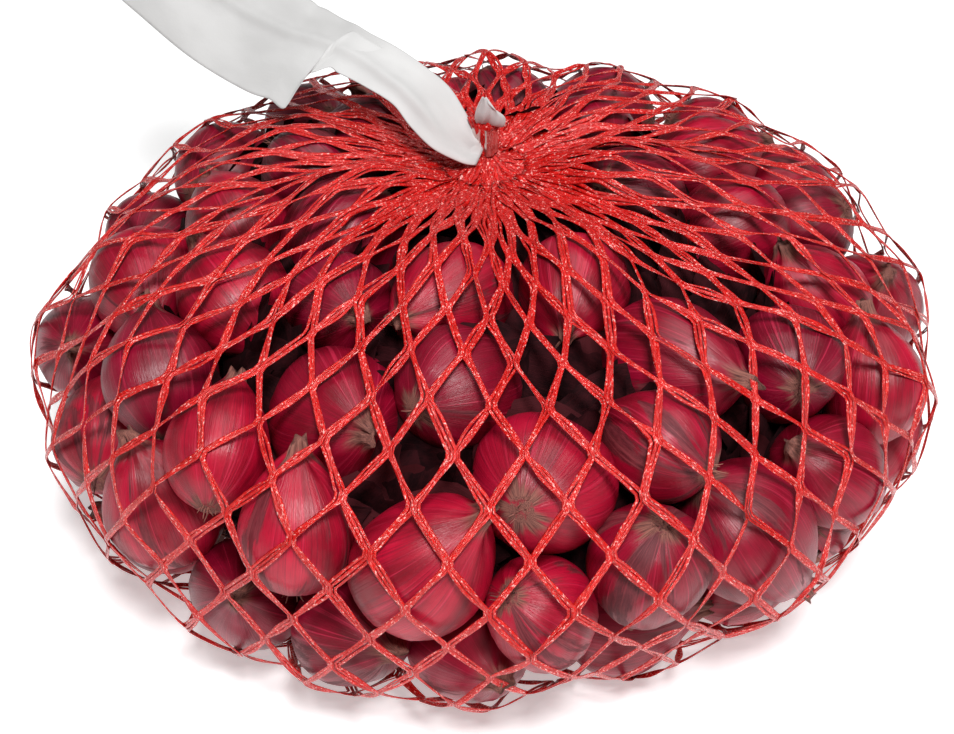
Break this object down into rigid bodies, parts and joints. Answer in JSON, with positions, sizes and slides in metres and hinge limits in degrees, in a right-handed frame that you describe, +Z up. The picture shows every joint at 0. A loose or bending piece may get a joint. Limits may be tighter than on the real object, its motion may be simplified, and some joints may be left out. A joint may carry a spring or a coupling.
{
  "type": "mesh produce bag",
  "caption": "Closed bag of stretchy diamond-mesh netting full of shallots, gathered and clipped at the top and underneath, with a film label strip in the top clip.",
  "frame": {"origin": "centre of the flat underside of the gathered netting that the bag rests on", "axes": "+Z up through the bag towards the top gather, -Y towards the front, +X to the right across the bag's long side"},
  "size_m": [0.2577, 0.2512, 0.1359],
  "materials": {
    "netting": "gloss",
    "shallot": "satin",
    "film": "satin",
    "clip": "satin"
  },
  "bodies": {
    "bag": {"shallot_01": "shallot", "shallot_02": "shallot", "shallot_03": "shallot", "shallot_04": "shallot", "shallot_05": "shallot", "shallot_06": "shallot", "shallot_07": "shallot", "shallot_08": "shallot", "shallot_09": "shallot", "shallot_10": "shallot", "shallot_11": "shallot", "shallot_12": "shallot", "shallot_13": "shallot", "shallot_14": "shallot", "shallot_15": "shallot", "shallot_16": "shallot", "shallot_17": "shallot", "shallot_18": "shallot", "shallot_19": "shallot", "shallot_20": "shallot", "shallot_21": "shallot", "shallot_22": "shallot", "shallot_23": "shallot", "shallot_24": "shallot", "shallot_25": "shallot", "shallot_26": "shallot", "shallot_27": "shallot", "shallot_28": "shallot", "shallot_29": "shallot", "shallot_30": "shallot", "shallot_31": "shallot", "shallot_32": "shallot", "shallot_33": "shallot", "shallot_34": "shallot", "shallot_35": "shallot", "shallot_36": "shallot", "shallot_37": "shallot", "shallot_38": "shallot", "shallot_39": "shallot", "shallot_40": "shallot", "shallot_41": "shallot", "shallot_42": "shallot", "shallot_43": "shallot", "shallot_44": "shallot", "rear_shallots_1": "shallot", "rear_shallots_2": "shallot", "rear_shallots_3": "shallot", "rear_shallots_4": "shallot", "rear_shallots_5": "shallot", "rear_shallots_6": "shallot", "rear_shallots_7": "shallot", "inner_shallots": "shallot", "netting": "netting", "netting_base": "netting", "netting_base_tail": "netting", "bottom_clip": "clip"},
    "neck": {"netting_neck": "netting", "top_clip": "clip", "label_end": "film"},
    "label": {"label_strip": "film"}
  },
  "joints": [
    {"name": "neck_twist", "type": "hinge", "parent": "bag", "child": "neck", "pos_m": [0, 0.02, 0.098], "axis": [0, 0, 1], "range_deg": [-30, 30], "stiffness_Nm_per_rad": 0.03},
    {"name": "label_lift", "type": "hinge", "parent": "neck", "child": "label", "pos_m": [-0.0062, 0.016, 0.1006], "axis": [0.6247, 0.7809, 0], "range_deg": [-5, 22], "stiffness_Nm_per_rad": 0.1}
  ]
}
